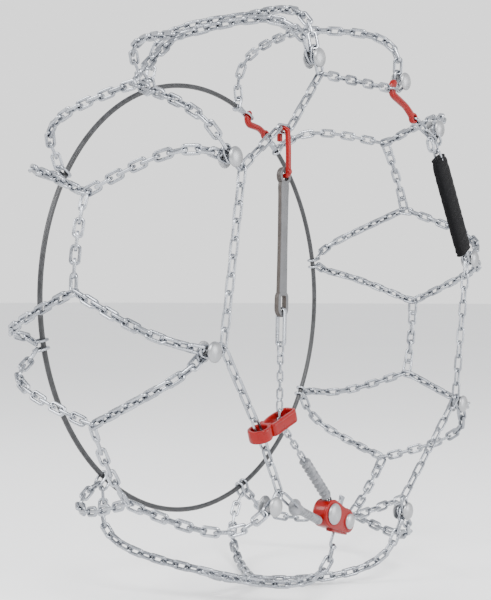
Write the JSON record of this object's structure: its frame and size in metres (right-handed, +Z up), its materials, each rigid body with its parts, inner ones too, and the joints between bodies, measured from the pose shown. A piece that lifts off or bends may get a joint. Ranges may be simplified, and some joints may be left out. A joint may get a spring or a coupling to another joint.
{
  "type": "tire snow chains",
  "caption": "Snow chain net for one car tyre: chain strands over the tread, domed disc corners, a hoop behind the tyre, and a rubber strap with a self-locking tensioner on the front.",
  "frame": {"origin": "centre of the wheel that wears the net: on the axle's line, in the middle plane of the tyre", "axes": "+Y along the axle towards the car, so the outer face with the discs looks towards -Y; +Z up; +X to the right when the outer face is seen from outside"},
  "size_m": [0.656, 0.2568, 0.6555],
  "materials": {
    "chain_steel": "bright galvanised",
    "disc_steel": "satin",
    "red_plastic": "glossy",
    "strap_rubber": "matt",
    "sleeve_plastic": "matt",
    "label_sleeve": "satin",
    "hoop_cable": "satin"
  },
  "bodies": {
    "chain_net": {"cross_strand_01": "chain_steel", "cross_strand_02": "chain_steel", "cross_strand_03": "chain_steel", "cross_strand_04": "chain_steel", "cross_strand_05": "chain_steel", "cross_strand_06": "chain_steel", "cross_strand_07": "chain_steel", "cross_strand_08": "chain_steel", "cross_strand_09": "chain_steel", "cross_strand_10": "chain_steel", "cross_strand_11": "chain_steel", "cross_strand_12": "chain_steel", "cross_strand_13": "chain_steel", "cross_strand_14": "chain_steel", "cross_strand_15": "chain_steel", "cross_strand_16": "chain_steel", "inner_hoop": "hoop_cable", "lock_cover": "red_plastic", "lock_tray": "red_plastic", "return_sleeve": "sleeve_plastic", "side_chain_1": "chain_steel", "side_chain_2": "chain_steel", "side_chain_3": "chain_steel", "side_chain_5": "chain_steel", "side_chain_6": "chain_steel", "side_chain_7": "chain_steel", "side_chain_9": "chain_steel", "side_chain_lock": "chain_steel", "side_link_4": "chain_steel", "side_link_8": "chain_steel", "side_link_9": "chain_steel", "tension_chain_lower": "chain_steel", "tread_run_1": "chain_steel", "tread_run_2": "chain_steel", "tread_run_3": "chain_steel", "tread_run_4": "chain_steel", "tread_run_5": "chain_steel", "tread_run_6": "chain_steel", "tread_run_7": "chain_steel", "tread_run_8": "chain_steel"},
    "corner_disc_1_body": {"corner_disc_1": "disc_steel"},
    "corner_disc_2_body": {"corner_disc_2": "disc_steel"},
    "corner_disc_3_body": {"corner_disc_3": "disc_steel"},
    "corner_disc_4_body": {"corner_disc_4": "disc_steel"},
    "corner_disc_5_body": {"corner_disc_5": "disc_steel"},
    "corner_disc_6_body": {"corner_disc_6": "disc_steel"},
    "corner_disc_7_body": {"corner_disc_7": "disc_steel"},
    "corner_disc_8_body": {"corner_disc_8": "disc_steel"},
    "corner_disc_9_body": {"corner_disc_9": "disc_steel"},
    "closing_hook_body": {"closing_hook": "red_plastic"},
    "hoop_hook_body": {"hoop_hook": "red_plastic"},
    "tension_hook_body": {"tension_hook": "red_plastic"},
    "tension_strap_body": {"tension_strap": "strap_rubber"},
    "pull_link_body": {"pull_link": "chain_steel"},
    "fine_chain_top_body": {"tension_chain_upper": "chain_steel"},
    "chain_guide_body": {"chain_guide": "red_plastic"},
    "lock_roller_body": {"lock_roller": "disc_steel"},
    "lock_lever_body": {"lock_lever": "chain_steel"},
    "bead_sleeve_body": {"bead_sleeve": "sleeve_plastic"},
    "label_sleeve_body": {"label_sleeve": "label_sleeve"}
  },
  "joints": [
    {"name": "disc_1_spin", "type": "hinge", "parent": "chain_net", "child": "corner_disc_1_body", "pos_m": [-0.0866, -0.1105, 0.25151], "axis": [0, -1, 0], "continuous": true},
    {"name": "disc_2_spin", "type": "hinge", "parent": "chain_net", "child": "corner_disc_2_body", "pos_m": [-0.22919, -0.1105, 0.13501], "axis": [0, -1, 0], "continuous": true},
    {"name": "disc_3_spin", "type": "hinge", "parent": "chain_net", "child": "corner_disc_3_body", "pos_m": [-0.26102, -0.1105, -0.05121], "axis": [0, -1, 0], "continuous": true},
    {"name": "disc_4_spin", "type": "hinge", "parent": "chain_net", "child": "corner_disc_4_body", "pos_m": [-0.16413, -0.1105, -0.20932], "axis": [0, -1, 0], "continuous": true},
    {"name": "disc_5_spin", "type": "hinge", "parent": "chain_net", "child": "corner_disc_5_body", "pos_m": [0.09576, -0.1105, -0.24817], "axis": [0, -1, 0], "continuous": true},
    {"name": "disc_6_spin", "type": "hinge", "parent": "chain_net", "child": "corner_disc_6_body", "pos_m": [0.23083, -0.1105, -0.1322], "axis": [0, -1, 0], "continuous": true},
    {"name": "disc_7_spin", "type": "hinge", "parent": "chain_net", "child": "corner_disc_7_body", "pos_m": [0.26146, -0.1105, 0.04893], "axis": [0, -1, 0], "continuous": true},
    {"name": "disc_8_spin", "type": "hinge", "parent": "chain_net", "child": "corner_disc_8_body", "pos_m": [0.17098, -0.1105, 0.20377], "axis": [0, -1, 0], "continuous": true},
    {"name": "disc_9_spin", "type": "hinge", "parent": "chain_net", "child": "corner_disc_9_body", "pos_m": [0.0901, -0.1105, 0.25027], "axis": [0, -1, 0], "continuous": true},
    {"name": "closing_hook_swing", "type": "hinge", "parent": "chain_net", "child": "closing_hook_body", "pos_m": [0.1124, -0.12205, 0.21036], "axis": [0, -1, 0], "range_deg": [0, 50]},
    {"name": "hoop_hook_swing", "type": "hinge", "parent": "chain_net", "child": "hoop_hook_body", "pos_m": [0.14243, 0.117, 0.21272], "axis": [0, -1, 0], "range_deg": [0, 50]},
    {"name": "tension_hook_swing", "type": "hinge", "parent": "chain_net", "child": "tension_hook_body", "pos_m": [-0.14661, -0.12205, 0.1663], "axis": [-1, 0, 0], "range_deg": [0, 40]},
    {"name": "strap_swing", "type": "hinge", "parent": "tension_hook_body", "child": "tension_strap_body", "pos_m": [-0.14661, -0.12205, 0.123], "axis": [0, -1, 0], "range_deg": [-6, 6]},
    {"name": "pull_link_swing", "type": "hinge", "parent": "tension_strap_body", "child": "pull_link_body", "pos_m": [-0.15071, -0.12205, -0.00979], "axis": [0, -1, 0], "range_deg": [-5, 5]},
    {"name": "fine_chain_swing", "type": "hinge", "parent": "pull_link_body", "child": "fine_chain_top_body", "pos_m": [-0.15194, -0.12205, -0.04977], "axis": [0, -1, 0], "range_deg": [-8, 8]},
    {"name": "guide_rock", "type": "hinge", "parent": "chain_net", "child": "chain_guide_body", "pos_m": [-0.18646, -0.12205, -0.13448], "axis": [0, -1, 0], "range_deg": [-4, 4]},
    {"name": "roller_spin", "type": "hinge", "parent": "chain_net", "child": "lock_roller_body", "pos_m": [-0.06608, -0.1145, -0.22895], "axis": [0, -1, 0], "continuous": true},
    {"name": "release_lever", "type": "hinge", "parent": "chain_net", "child": "lock_lever_body", "pos_m": [-0.04458, -0.12045, -0.23175], "axis": [0, -1, 0], "range_deg": [0, 8], "stiffness_Nm_per_rad": 0.05, "springref_deg": -2.86},
    {"name": "bead_sleeve_slide", "type": "slide", "parent": "chain_net", "child": "bead_sleeve_body", "axis": [-0.6995, 0, 0.7146], "range_m": [0, 0.038]},
    {"name": "label_sleeve_slide", "type": "slide", "parent": "chain_net", "child": "label_sleeve_body", "axis": [-0.5045, 0, 0.8634], "range_m": [-0.004, 0.01]}
  ]
}
